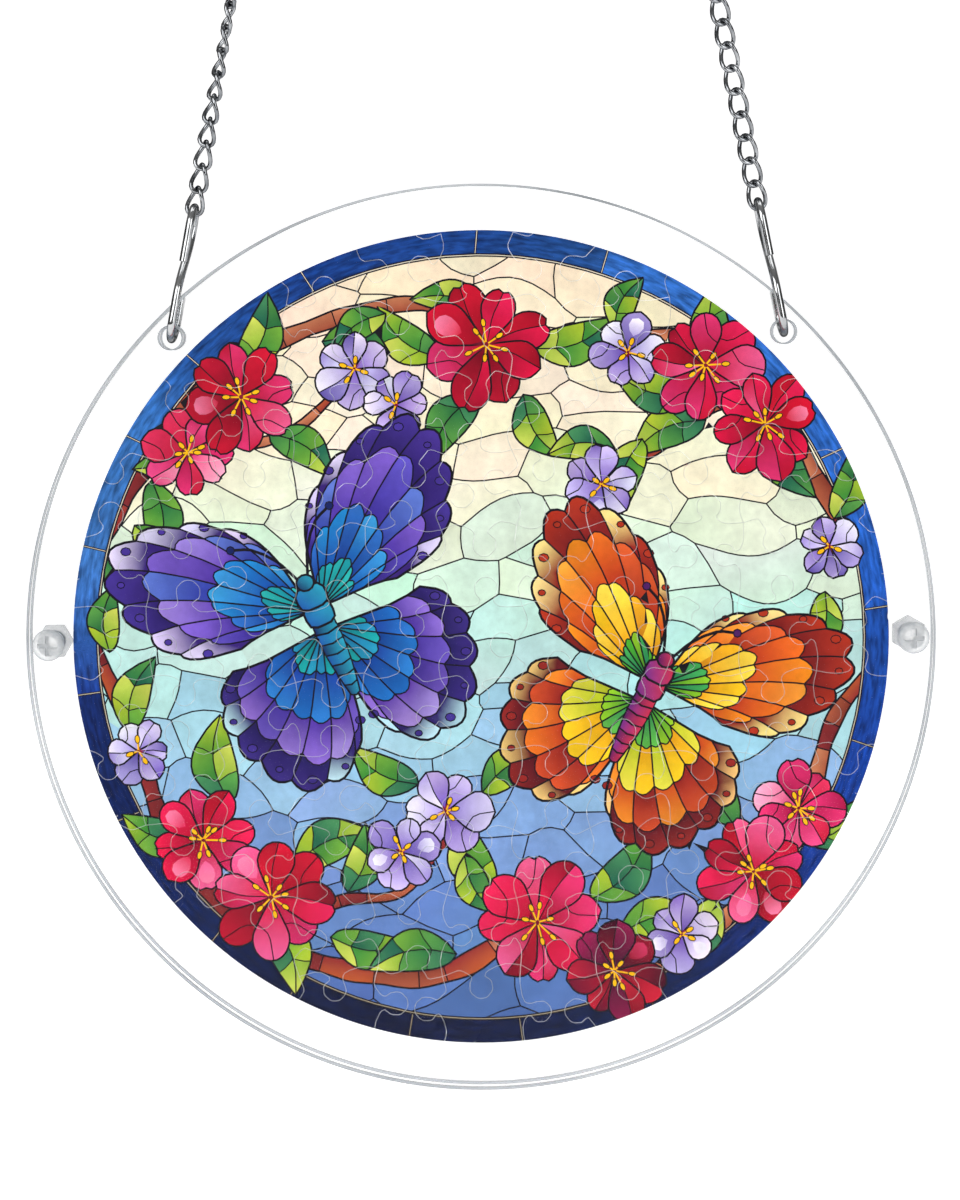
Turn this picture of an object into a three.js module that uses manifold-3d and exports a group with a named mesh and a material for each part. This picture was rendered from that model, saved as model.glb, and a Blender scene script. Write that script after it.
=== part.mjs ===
// Puzzle suncatcher: a round printed jigsaw between two clear plates, hung by two chains from a ring.
// Millimetres, +Z up, printed front facing -Y. The origin is the inner top of the hanging ring.

import * as THREE from 'three';
import { mergeVertices } from 'three/addons/utils/BufferGeometryUtils.js';
import Module from 'manifold-3d';

const wasm = await Module();
wasm.setup();

// Plates and jigsaw
const PLATE_DIAMETER = 200;
const PLATE_THICKNESS = 3;
const CLEAR_RING = 10; // width of bare plate around the jigsaw
const JIGSAW_THICKNESS = 2.4;
const JIGSAW_PLAY = 0.2; // air between the jigsaw and each plate
const HANG_HOLE_DIAMETER = 5;
const HANG_HOLE_ANGLE = 45; // degrees from the top, to each side

// Screws and nuts
const SCREW_DIAMETER = 4;
const BORE_CLEARANCE = 0.3; // around the screw in the plates
const THREAD_CLEARANCE = 0.1; // around the screw in the nut
const HEAD_OVERHANG = 1.5; // how far the head reaches past the shank
const HEAD_HEIGHT = 2.6;
const HEAD_EDGE = 1.1; // straight side of the head below its rounded crown
const HEAD_FLAT = 1.9; // radius of the flat on top of the crown
const RECESS_WIDTH = 1;
const RECESS_DEPTH = 1.4;
const NUT_WALL = 1.5; // from the thread to each flat
const NUT_HEIGHT = 3.2;
const NUT_TURN = { left: 0, right: Math.PI / 6 }; // a corner points sideways, or up
const NUT_CHAMFER = 0.4;
const TAIL_LENGTH = 1.6; // screw that shows behind the nut
const TAIL_CHAMFER = 0.5;
const SEAT_GAP = 0.1; // between a face and the face it bears on

// S-hooks
const HOOK_WIRE = 1.8;
const HOOK_PLAY = 0.5; // between the wire and each outer face of the plates
const HOOK_SEAT_RISE = 4; // depth of the curve that carries the plates
const HOOK_LENGTH = 29; // from the hole's centre to the middle of the wire at the top
const HOOK_EYE_RADIUS = 4.5; // middle of the wire in the upper curve
const HOOK_TAIL = 9; // height of the back end over the hole's centre
const HOOK_LIP = 7.5; // length of the front end below the upper curve
const HOOK_SWEEP = 0.45; // how gently the shank crosses over, as a share of its height
const CONTACT_GAP = 0.3; // between pieces that hang on each other

// Curb chains
const LINK_LENGTH = 6.8;
const LINK_WIDTH = 4.6;
const LINK_WIRE = 0.85;
const LINK_TWIST = 0.55; // how far each side of a link is bent to the front or back
const END_FLAT = 0.45; // half length of a link's end, as a share of its half width
const SIDE_FLAT = 0.5; // half length of its straight side, as a share of its half length
const LINK_COUNT = 62;
const CORNER_REACH = 1.3; // corners of a link's three-sided section, in wire radii
const LEFT_TURN = [3, 15]; // links over which the chain turns from face-on to edge-on
const RIGHT_TURN = [40, 58];

// Hanging ring
const RING_DIAMETER = 22; // outside
const RING_WIRE = 1.8;

// Fineness
const DISC_SEGMENTS = 64;
const BORE_SEGMENTS = 12;
const HEAD_SEGMENTS = 12;
const CROWN_STEPS = 2;
const WIRE_SIDES = 6;
const HOOK_STEPS = 32;
const RING_SEGMENTS = 24;

// Worked out from the sizes above
const plateRadius = PLATE_DIAMETER / 2;
const holeCircle = plateRadius - CLEAR_RING / 2;
const jigsawRadius = plateRadius - CLEAR_RING;
const innerFace = JIGSAW_THICKNESS / 2 + JIGSAW_PLAY;
const outerFace = innerFace + PLATE_THICKNESS;
const hangAngle = THREE.MathUtils.degToRad(HANG_HOLE_ANGLE);
const hole = {
  x: holeCircle * Math.sin(hangAngle),
  z: holeCircle * Math.cos(hangAngle),
};
const boreRadius = SCREW_DIAMETER / 2 + BORE_CLEARANCE;
const linkRise = (LINK_LENGTH - LINK_WIRE) / 2; // from a link's centre to the middle of its end wire
const linkPitch = LINK_LENGTH - 2 * LINK_WIRE;
const ringRadius = (RING_DIAMETER - RING_WIRE) / 2;
const endGap = (LINK_WIRE + CONTACT_GAP * 2) / 2; // a link's end wire beyond the surface it hangs on
const firstLink = HOOK_LENGTH - HOOK_WIRE / 2 - endGap + linkRise;
const lastLink = ringRadius - RING_WIRE / 2 - endGap + linkRise; // from the ring's centre
const armLength = firstLink + (LINK_COUNT - 1) * linkPitch + lastLink;
const armHeight = Math.sqrt(armLength ** 2 - hole.x ** 2);
const lean = Math.asin(hole.x / armLength);
const outward = hole.z * Math.cos(lean) - hole.x * Math.sin(lean); // along the arm, from the disc's centre
const rimReach = Math.sqrt(outward ** 2 + plateRadius ** 2 - holeCircle ** 2) - outward;
const ringCentre = -(ringRadius - RING_WIRE / 2);
const discCentre = ringCentre - armHeight - hole.z;

// Materials
const metal = (color, roughness) => ({ color, roughness, metalness: 1 });
const clear = (color) => ({
  color, roughness: 0.05, metalness: 0, transparent: true, opacity: 0.35,
});
const FINISH = {
  plate: clear(0xf4f8fa),
  screw: clear(0xe9eef0),
  jigsaw: { color: 0xa9dbe0, roughness: 0.35, metalness: 0 },
  steel: metal(0xc9ccd0, 0.18),
};

/** A named mesh with a material of its own. */
function piece(name, geometry, finish) {
  const mesh = new THREE.Mesh(geometry, new THREE.MeshStandardMaterial(FINISH[finish]));
  mesh.name = name;
  return mesh;
}

/** A solid for joining and cutting, from a closed geometry. */
function solidOf(geometry) {
  const bare = geometry.clone();
  bare.deleteAttribute('normal');
  bare.deleteAttribute('uv');
  const merged = mergeVertices(bare, 1e-4);
  return new wasm.Manifold(new wasm.Mesh({
    numProp: 3,
    vertProperties: new Float32Array(merged.attributes.position.array),
    triVerts: new Uint32Array(merged.index.array),
  }));
}

/** The geometry of a solid. */
function geometryOf(solid) {
  const { vertProperties, triVerts } = solid.getMesh();
  const geometry = new THREE.BufferGeometry();
  geometry.setAttribute('position', new THREE.BufferAttribute(vertProperties, 3));
  geometry.setIndex(new THREE.BufferAttribute(triVerts, 1));
  geometry.computeVertexNormals();
  return geometry;
}

/** A circle as a shape or a hole, drawn with the number of sides given. */
function circle(Kind, x, z, radius, sides) {
  const points = [];
  for (let k = 0; k < sides; k += 1) {
    const angle = (2 * Math.PI * k) / sides;
    points.push(new THREE.Vector2(x + radius * Math.cos(angle), z + radius * Math.sin(angle)));
  }
  return new Kind(points);
}

/** A shape drawn in X and Z, extruded along Y from one depth to another. */
function slab(shape, from, to) {
  const geometry = new THREE.ExtrudeGeometry(shape, { depth: to - from, bevelEnabled: false });
  geometry.rotateX(Math.PI / 2);
  geometry.translate(0, to, 0);
  return geometry;
}

/** A clear plate with its two hanging holes and two screw holes. */
function plate(from, to) {
  const disc = circle(THREE.Shape, 0, 0, plateRadius, DISC_SEGMENTS);
  for (const side of [-1, 1]) {
    disc.holes.push(
      circle(THREE.Path, side * hole.x, hole.z, HANG_HOLE_DIAMETER / 2, BORE_SEGMENTS),
      circle(THREE.Path, side * holeCircle, 0, boreRadius, BORE_SEGMENTS),
    );
  }
  return slab(disc, from, to);
}

/** The jigsaw with all its pieces pushed together. */
function jigsaw() {
  const disc = circle(THREE.Shape, 0, 0, jigsawRadius, DISC_SEGMENTS);
  return slab(disc, -JIGSAW_THICKNESS / 2, JIGSAW_THICKNESS / 2);
}

/** A screw along Y, with a rounded head at the front and a cross cut in it. */
function screw() {
  const shank = SCREW_DIAMETER / 2;
  const head = shank + HEAD_OVERHANG;
  const seat = outerFace + SEAT_GAP;
  const crown = seat + HEAD_HEIGHT;
  const tail = -(outerFace + 2 * SEAT_GAP + NUT_HEIGHT + TAIL_LENGTH);
  const side = new THREE.Path();
  side.moveTo(0, tail);
  side.lineTo(shank - TAIL_CHAMFER, tail);
  side.lineTo(shank, tail + TAIL_CHAMFER);
  side.lineTo(shank, seat);
  side.lineTo(head, seat);
  side.lineTo(head, seat + HEAD_EDGE);
  side.absellipse(
    HEAD_FLAT, seat + HEAD_EDGE, head - HEAD_FLAT, HEAD_HEIGHT - HEAD_EDGE, 0, Math.PI / 2, false,
  );
  side.lineTo(0, crown);
  const outline = side.getPoints(CROWN_STEPS);
  let solid = solidOf(new THREE.LatheGeometry(outline, HEAD_SEGMENTS));
  for (const turn of [0, Math.PI / 2]) {
    const slot = new THREE.BoxGeometry(head * 1.1, 2 * RECESS_DEPTH, RECESS_WIDTH);
    slot.rotateY(turn);
    slot.translate(0, crown, 0);
    solid = solid.subtract(solidOf(slot));
  }
  return geometryOf(solid).rotateX(Math.PI);
}

/** A hex nut behind the back plate, with its corners turned down at both ends. */
function nut() {
  const flats = SCREW_DIAMETER + 2 * NUT_WALL;
  const corner = flats / Math.sqrt(3);
  const front = outerFace + SEAT_GAP;
  const hexagon = circle(THREE.Shape, 0, 0, corner, 6);
  const bore = SCREW_DIAMETER / 2 + THREAD_CLEARANCE;
  hexagon.holes.push(circle(THREE.Path, 0, 0, bore, BORE_SEGMENTS));
  const inside = corner - NUT_CHAMFER;
  const outside = corner + NUT_CHAMFER;
  const barrel = [
    [0, 0], [inside, 0], [outside, NUT_CHAMFER], [outside, NUT_HEIGHT - NUT_CHAMFER],
    [inside, NUT_HEIGHT], [0, NUT_HEIGHT],
  ].map(([r, y]) => new THREE.Vector2(r, front + y));
  const block = solidOf(slab(hexagon, front, front + NUT_HEIGHT));
  return geometryOf(block.intersect(solidOf(new THREE.LatheGeometry(barrel, HEAD_SEGMENTS))));
}

/** An S-hook in the plane of Y and Z, with the hole's centre at its origin. */
function hook() {
  const wire = HOOK_WIRE / 2;
  const side = outerFace + HOOK_PLAY + wire;
  const share = outerFace / side;
  const slack = Math.sqrt(1 - share ** 2);
  const steepness = (HOOK_SEAT_RISE / side) * (share / slack);
  const roof = HANG_HOLE_DIAMETER / 2 - CONTACT_GAP;
  const bottom = roof - wire * Math.hypot(1, steepness) - HOOK_SEAT_RISE * (1 - slack);
  const shoulder = bottom + HOOK_SEAT_RISE;
  const eyeCentre = HOOK_LENGTH - HOOK_EYE_RADIUS;
  const ease = (eyeCentre - rimReach) * HOOK_SWEEP;
  const route = new THREE.Path();
  route.moveTo(side, HOOK_TAIL);
  route.lineTo(side, shoulder);
  route.absellipse(0, shoulder, side, HOOK_SEAT_RISE, 0, Math.PI, true);
  route.lineTo(-side, rimReach);
  route.bezierCurveTo(
    -side, rimReach + ease, HOOK_EYE_RADIUS, eyeCentre - ease, HOOK_EYE_RADIUS, eyeCentre,
  );
  route.absarc(0, eyeCentre, HOOK_EYE_RADIUS, 0, Math.PI, false);
  route.lineTo(-HOOK_EYE_RADIUS, eyeCentre - HOOK_LIP);
  return rod(route.getSpacedPoints(HOOK_STEPS).map((p) => new THREE.Vector3(0, p.x, p.y)), wire);
}

/** A round rod along a line of points. */
function rod(points, radius) {
  return new THREE.ExtrudeGeometry(circle(THREE.Shape, 0, 0, radius, WIRE_SIDES), {
    steps: HOOK_STEPS,
    extrudePath: new THREE.CatmullRomCurve3(points),
    bevelEnabled: false,
  });
}

/** One twisted link of few sides, its length along Z. */
function link() {
  const across = (LINK_WIDTH - LINK_WIRE) / 2;
  const corners = [
    [across * END_FLAT, linkRise], [across, linkRise * SIDE_FLAT],
    [across, -linkRise * SIDE_FLAT], [across * END_FLAT, -linkRise],
  ];
  const path = [];
  for (const [x, z] of corners) {
    path.push(new THREE.Vector3(x, LINK_TWIST * Math.sign(z), z));
  }
  for (const [x, z] of corners.toReversed()) {
    path.push(new THREE.Vector3(-x, -LINK_TWIST * Math.sign(z), z));
  }
  return closedWire(path, LINK_WIRE / 2);
}

/** A closed loop of wire with a three-sided section, one edge of it towards the loop's centre. */
function closedWire(path, radius) {
  const sides = 3;
  const reach = radius * CORNER_REACH;
  const position = [];
  const index = [];
  path.forEach((point, k) => {
    const before = path[(k + path.length - 1) % path.length];
    const after = path[(k + 1) % path.length];
    const along = after.clone().sub(before).normalize();
    const inward = point.clone().negate();
    inward.addScaledVector(along, -inward.dot(along)).normalize();
    const over = along.clone().cross(inward);
    for (let s = 0; s < sides; s += 1) {
      const angle = (2 * Math.PI * s) / sides;
      const corner = point.clone()
        .addScaledVector(inward, reach * Math.cos(angle))
        .addScaledVector(over, reach * Math.sin(angle));
      position.push(corner.x, corner.y, corner.z);
      const next = ((k + 1) % path.length) * sides;
      const here = k * sides + s;
      const beside = k * sides + ((s + 1) % sides);
      const ahead = next + s;
      const across = next + ((s + 1) % sides);
      index.push(here, beside, across, here, across, ahead);
    }
  });
  const geometry = new THREE.BufferGeometry();
  geometry.setAttribute('position', new THREE.Float32BufferAttribute(position, 3));
  geometry.setIndex(index);
  return geometry;
}

/** How far a link is turned about the chain, from face-on at the hook to edge-on at the ring. */
function turnOf(k, [from, to]) {
  return (Math.PI / 2) * THREE.MathUtils.smoothstep(k, from, to);
}

/** A chain along Z with its links fused where they bear on each other. */
function chain(turn) {
  const links = [];
  for (let k = 0; k < LINK_COUNT; k += 1) {
    const one = link();
    one.rotateZ(turnOf(k, turn));
    one.translate(0, 0, firstLink + k * linkPitch);
    links.push(solidOf(one));
  }
  return geometryOf(wasm.Manifold.union(links));
}

/** One arm: the hook in its hole and the chain above it, leaning in to the ring. */
function arm(side, word, turn) {
  const group = new THREE.Group();
  group.position.set(side * hole.x, 0, discCentre + hole.z);
  group.rotation.y = -side * lean;
  group.add(piece(`hook_${word}`, hook(), 'steel'), piece(`chain_${word}`, chain(turn), 'steel'));
  return group;
}

const suncatcher = new THREE.Group();

const disc = new THREE.Group();
disc.position.z = discCentre;
disc.add(
  piece('front_plate', plate(-outerFace, -innerFace), 'plate'),
  piece('back_plate', plate(innerFace, outerFace), 'plate'),
  piece('jigsaw', jigsaw(), 'jigsaw'),
);
for (const [side, word] of [[-1, 'left'], [1, 'right']]) {
  const fixing = new THREE.Group();
  fixing.position.x = side * holeCircle;
  const tightened = piece(`nut_${word}`, nut(), 'screw');
  tightened.rotation.y = NUT_TURN[word];
  fixing.add(piece(`screw_${word}`, screw(), 'screw'), tightened);
  disc.add(fixing);
}
suncatcher.add(disc, arm(-1, 'left', LEFT_TURN), arm(1, 'right', RIGHT_TURN));

const ring = piece(
  'hanging_ring',
  new THREE.TorusGeometry(ringRadius, RING_WIRE / 2, WIRE_SIDES, RING_SEGMENTS),
  'steel',
);
ring.rotation.x = Math.PI / 2;
ring.position.z = ringCentre;
suncatcher.add(ring);

export default suncatcher;
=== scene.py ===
"""A round puzzle suncatcher: a printed jigsaw between two clear discs, hung by steel chains."""

import math
import random

import bmesh
import bpy
import numpy as np
from mathutils import Matrix, Vector
from mathutils.geometry import delaunay_2d_cdt, tessellate_polygon


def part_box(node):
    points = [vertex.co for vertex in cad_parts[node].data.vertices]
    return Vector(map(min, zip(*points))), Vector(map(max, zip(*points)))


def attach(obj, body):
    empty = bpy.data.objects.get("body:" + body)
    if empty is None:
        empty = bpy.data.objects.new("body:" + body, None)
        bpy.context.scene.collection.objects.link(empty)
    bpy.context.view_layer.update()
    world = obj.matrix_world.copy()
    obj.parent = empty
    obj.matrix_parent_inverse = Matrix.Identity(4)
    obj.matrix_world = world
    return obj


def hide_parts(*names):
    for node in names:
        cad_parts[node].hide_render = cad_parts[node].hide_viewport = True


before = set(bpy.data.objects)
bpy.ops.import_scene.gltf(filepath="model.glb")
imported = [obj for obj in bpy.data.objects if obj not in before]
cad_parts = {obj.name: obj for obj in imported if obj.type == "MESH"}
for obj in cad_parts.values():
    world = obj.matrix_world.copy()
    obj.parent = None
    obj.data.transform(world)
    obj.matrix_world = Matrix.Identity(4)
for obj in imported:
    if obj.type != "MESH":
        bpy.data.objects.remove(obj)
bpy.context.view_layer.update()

# Sizes in millimetres, as in the part's source. The disc's place is read from the frame.
MM = 0.001
plate_low, plate_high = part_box("front_plate")
DISC_Z = (plate_low.z + plate_high.z) / 2 / MM
PLATE_RADIUS = (plate_high.x - plate_low.x) / 2 / MM
OUTER_FACE = -plate_low.y / MM
JIGSAW_FACE = -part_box("jigsaw")[0].y / MM
JIGSAW_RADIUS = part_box("jigsaw")[1].x / MM
HOLE_CIRCLE = 95
HOLE = HOLE_CIRCLE * math.sqrt(0.5)
HANG_HOLE_RADIUS = 2.5
PLATE_BEVEL = 0.25
RIM_SEGMENTS = 540  # flat facets too short to see
HOLE_SEGMENTS = 72
SCREW_SEGMENTS = 48
SEAT_GAP = 0.1  # between a face and the face it bears on

SCREW_RADIUS = 2
BORE_CLEARANCE = 0.3
HEAD_RADIUS = 3.5
HEAD_HEIGHT = 2.6
HEAD_EDGE = 1.1  # straight side of the head below its crown
HEAD_FLAT = 1.9  # radius of the flat on the crown
RECESS_ARM, RECESS_WIDTH, RECESS_DEPTH = 2.2, 1, 1.4
THREAD_PITCH = 0.7
THREAD_ROOT = 0.28  # depth of the thread's groove
TAIL_LENGTH = 1.6
NUT_HEIGHT = 3.2
NUT_APOTHEM = SCREW_RADIUS + 1.5
NUT_BEVEL = 0.4

HOOK_RADIUS = 0.9
HOOK_PLAY = 0.5  # between the wire and each outer face of the plates
SEAT_RISE = 4  # depth of the curve that carries the plates
EYE_HEIGHT, EYE_RADIUS = 24.5, 4.5
HOOK_TAIL = 9  # height of the back end over the hole's centre
HOOK_LIP = 7.5  # length of the front end below the eye
HOOK_SWEEP = 0.45  # how gently the shank crosses over, as a share of its height
CONTACT_GAP = 0.3

LINK_PITCH = 5.1
LINK_COUNT = 62
FIRST_LINK = 30.35
LINK_RADIUS = 0.5  # of the wire
LINK_HALF_HEIGHT, LINK_HALF_WIDTH = 3.05, 1.8
LINK_BEND = -0.85  # how far each side leans to the front or back
ARM_LENGTH = 352.9
LEAN = math.asin(HOLE / ARM_LENGTH)
RING_WIRE = 1.8
RING_RADIUS = 10.1


# Meshes


def in_scene(name, data):
    """An object in the scene, at the origin."""
    made = bpy.data.objects.new(name, data)
    bpy.context.scene.collection.objects.link(made)
    return made


def finished(name, mesh, materials, nodes, angle=30):
    """A piece on the body, with smooth faces and the edges sharper than an angle kept."""
    for material in materials:
        mesh.materials.append(material)
    mesh.shade_smooth()
    mesh.set_sharp_from_angle(angle=math.radians(angle))
    made = in_scene(name, mesh)
    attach(made, "root")
    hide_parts(*nodes)
    return made


def evaluated_mesh(made):
    """A plain mesh of an object with its modifiers done."""
    bpy.context.view_layer.update()
    depsgraph = bpy.context.evaluated_depsgraph_get()
    return bpy.data.meshes.new_from_object(made.evaluated_get(depsgraph))


def closed_mesh(name, verts, faces, place=Matrix.Identity(4)):
    """A mesh from points in millimetres, put in place, with its faces turned outwards."""
    mesh = bpy.data.meshes.new(name)
    mesh.from_pydata([(place @ Vector(v)) * MM for v in verts], [], faces)
    shape = bmesh.new()
    shape.from_mesh(mesh)
    bmesh.ops.remove_doubles(shape, verts=shape.verts, dist=1e-7)
    bmesh.ops.recalc_face_normals(shape, faces=shape.faces)
    shape.to_mesh(mesh)
    shape.free()
    return mesh


def grid_faces(rows, columns, around_rows=False):
    """Quads over rows of points, each row a closed ring."""
    faces = []
    for i in range(rows if around_rows else rows - 1):
        here, ahead = i * columns, (i + 1) % rows * columns
        for j in range(columns):
            k = (j + 1) % columns
            faces.append((here + j, here + k, ahead + k, ahead + j))
    return faces


def wire(points, radius, sides, closed=False):
    """Points and faces of a round wire along a path, its cut ends slightly rounded."""
    path = [Vector(p) for p in points]
    count = len(path)
    verts = []
    normal = None
    for k, point in enumerate(path):
        if closed:
            along = path[(k + 1) % count] - path[k - 1]
            normal = Vector((0, 1, 0))
        else:
            along = path[min(k + 1, count - 1)] - path[max(k - 1, 0)]
            normal = normal or along.orthogonal()
        along.normalize()
        normal = (normal - along * normal.dot(along)).normalized()
        over = along.cross(normal)
        for s in range(sides):
            turn = 2 * math.pi * s / sides
            verts.append(point + radius * (math.cos(turn) * normal + math.sin(turn) * over))
    faces = grid_faces(count, sides, closed)
    if not closed:
        for row, inner in ((0, path[1]), (count - 1, path[-2])):
            end = path[row]
            out = (end - inner).normalized()
            base, ring = row * sides, len(verts)
            for s in range(sides):
                verts.append(end + (verts[base + s] - end) * 0.8 + out * radius * 0.12)
                t = (s + 1) % sides
                faces.append((base + s, base + t, ring + t, ring + s))
            faces.append(tuple(range(ring, ring + sides)))
    return verts, faces


def smooth_path(points, step, closed=False):
    """A curve through all the points, in even steps of about the length given."""
    knots = np.array(points, float)
    if closed:
        knots = np.vstack([knots[-1:], knots, knots[:2]])
    else:
        knots = np.vstack([2 * knots[:1] - knots[1:2], knots, 2 * knots[-1:] - knots[-2:-1]])
    t = np.linspace(0, 1, 12, endpoint=False)[:, None]
    parts = []
    for a, b, c, d in zip(knots, knots[1:], knots[2:], knots[3:]):
        parts.append(
            0.5 * (2 * b + (c - a) * t + (2 * a - 5 * b + 4 * c - d) * t**2
                   + (3 * b - a - 3 * c + d) * t**3)
        )
    curve = np.vstack(parts + [knots[-2:-1]])
    run = np.concatenate([[0], np.cumsum(np.linalg.norm(np.diff(curve, axis=0), axis=1))])
    count = max(3, round(run[-1] / step)) + 1
    at = np.linspace(0, run[-1], count)
    return np.column_stack([np.interp(at, run, curve[:, k]) for k in range(knots.shape[1])])


# Materials


def linear(code):
    """A colour written as sRGB hex, in linear light."""
    levels = [int(code[k : k + 2], 16) / 255 for k in (1, 3, 5)]
    return [v / 12.92 if v <= 0.04045 else ((v + 0.055) / 1.055) ** 2.4 for v in levels]


def rgba(code):
    return (*linear(code), 1)


def add(tree, kind, inputs=None, **settings):
    """A node with its settings, and each input given a value or linked to an output."""
    node = tree.nodes.new(kind)
    for key, value in settings.items():
        setattr(node, key, value)
    for key, value in (inputs or {}).items():
        if isinstance(value, bpy.types.NodeSocket):
            tree.links.new(value, node.inputs[key])
        else:
            node.inputs[key].default_value = value
    return node


def material(name, values):
    """A material with plain values on its shader. Returns it, its tree and the shader."""
    made = bpy.data.materials.new(name)
    made.use_nodes = True
    tree = made.node_tree
    shader = tree.nodes["Principled BSDF"]
    for key, value in values.items():
        shader.inputs[key].default_value = value
    return made, tree, shader


def patches(tree, size, low=0.0, high=1.0, detail=2.0, where=None):
    """A value that wanders between two levels, in patches of a size in millimetres."""
    place = where or add(tree, "ShaderNodeTexCoord").outputs["Object"]
    cloud = add(
        tree, "ShaderNodeTexNoise", {"Vector": place, "Scale": 1 / (size * MM), "Detail": detail}
    ).outputs["Fac"]
    levels = {"Value": cloud, "From Min": 0.3, "From Max": 0.7, "To Min": low, "To Max": high}
    return add(tree, "ShaderNodeMapRange", levels).outputs["Result"]


def relief(tree, shader, size, depth, detail=2.0):
    """Unevenness of a depth in millimetres, in patches of a size."""
    height = patches(tree, size, detail=detail)
    raised = add(tree, "ShaderNodeBump", {"Height": height, "Distance": depth * MM})
    tree.links.new(raised.outputs["Normal"], shader.inputs["Normal"])


def two_toned(name, values, dark, light, size, gloss=None):
    """A material that wanders between two colours in patches of a size in millimetres.

    The gloss is the size of its own patches and the two levels of roughness.
    """
    made, tree, shader = material(name, values)
    tones = {0: patches(tree, size), 6: rgba(dark), 7: rgba(light)}
    tone = add(tree, "ShaderNodeMix", tones, data_type="RGBA").outputs[2]
    tree.links.new(tone, shader.inputs["Base Color"])
    if gloss:
        tree.links.new(patches(tree, *gloss), shader.inputs["Roughness"])
    return made, tree, shader


def cast_acrylic():
    """Cast acrylic sheet: clear and glossy, with a faint haze of handling marks 6 mm across."""
    made, tree, shader = material(
        "cast acrylic sheet, clear",
        {"Base Color": rgba("#f4f8fa"), "IOR": 1.49, "Alpha": 0.05, "Transmission Weight": 1.0},
    )
    tree.links.new(patches(tree, 6, 0.1, 0.18), shader.inputs["Roughness"])
    return made


def cut_edge(name, dark, light, alpha):
    """Laser-cut acrylic edge, tinted with painted light and shade: light gathers in it, and its
    grey stands in for the light and shade that clear acrylic bends at an edge.

    Its tone changes slowly along the edge, over about 38 mm.
    """
    values = {"IOR": 1.49, "Alpha": alpha, "Roughness": 0.35}
    return two_toned(name, values, dark, light, 38)[0]


def moulded_nylon(name, dark, light, alpha):
    """Clear moulded nylon: slightly milky, with a soft gloss and faint sink marks 0.9 mm apart."""
    made, tree, shader = two_toned(
        name, {"IOR": 1.53, "Alpha": alpha}, dark, light, 1.1, (0.8, 0.3, 0.42)
    )
    relief(tree, shader, 0.9, 0.008)
    return made


def drawn_steel(name, dull, dark, light):
    """Bright steel wire: mirror-like, with darker patches 4 mm long and duller ones of 6 mm. The
    dark specular tint is painted shade on the wire's grazing edges.
    """
    values = {"Metallic": 1.0, "Specular Tint": rgba("#2c2e30")}
    return two_toned(name, values, dark, light, 4, (6, *dull))[0]


def printed_acrylic():
    """Ink cured on acrylic: satin, with the mottle of coloured glass and brushed blue at the rim.

    The print's colours are on the mesh. The mottle has grains of 5 mm and 1.5 mm, and the
    brush strokes run round the rim.
    """
    made, tree, shader = material(
        "UV-cured ink on acrylic", {"IOR": 1.49, "Specular IOR Level": 0.12}
    )
    ink, brushed, around = [
        add(tree, "ShaderNodeAttribute", attribute_name=name).outputs
        for name in ("ink", "brushed", "round")
    ]
    strokes = patches(tree, 0.9, 0.5, 1.75, 3, around["Vector"])
    level = add(
        tree, "ShaderNodeMix", {0: brushed["Fac"], 2: 1.0, 3: strokes}, data_type="FLOAT"
    ).outputs[0]
    for grain in (patches(tree, 5, 0.9, 1.07, 3), patches(tree, 1.5, 0.94, 1.05, 4)):
        level = add(tree, "ShaderNodeMath", {0: level, 1: grain}, operation="MULTIPLY").outputs[0]
    tone = add(tree, "ShaderNodeVectorMath", {0: ink["Color"], 1: level}, operation="MULTIPLY")
    tree.links.new(tone.outputs[0], shader.inputs["Base Color"])
    tree.links.new(patches(tree, 3, 0.34, 0.46), shader.inputs["Roughness"])
    relief(tree, shader, 0.6, 0.004, 3)
    return made


ACRYLIC = cast_acrylic()
# The edge greys are painted light and shade; the arris's darker grey is painted shade.
EDGE = cut_edge("cast acrylic, laser-cut edge, painted light and shade", "#bcc7d6", "#e4eaf1", 0.85)
ARRIS = cut_edge("cast acrylic, eased arris, painted shade", "#7f8589", "#c0c4c7", 0.75)
NYLON = moulded_nylon("clear moulded nylon", "#d8dbdc", "#f0f1f2", 0.38)
# A darker, less clear copy of the nylon: painted shade for faces seen edge-on.
NYLON_SIDE_SHADE = moulded_nylon("clear moulded nylon, painted shade where seen edge-on", "#b2b7ba", "#d2d5d7", 0.55)
PRINT = printed_acrylic()
HOOK_STEEL = drawn_steel("drawn stainless wire", (0.12, 0.18), "#a2a4a6", "#d4d5d6")
# The chain's levels are set darker than the hook's, as painted shade for the dark reflections in
# its links; its patches are its own uneven tone.
CHAIN_STEEL = drawn_steel("tumbled steel chain", (0.07, 0.12), "#6c6f73", "#b2b4b7")
# Seamless white paper: matte, with clouds too faint to see
PAPER = two_toned(
    "backdrop paper",
    {"Roughness": 0.9, "Emission Color": rgba("#ffffff"), "Emission Strength": 0.6},
    "#f6f6f6", "#fafafa", 40,
)[0]


# Clear plates


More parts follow.
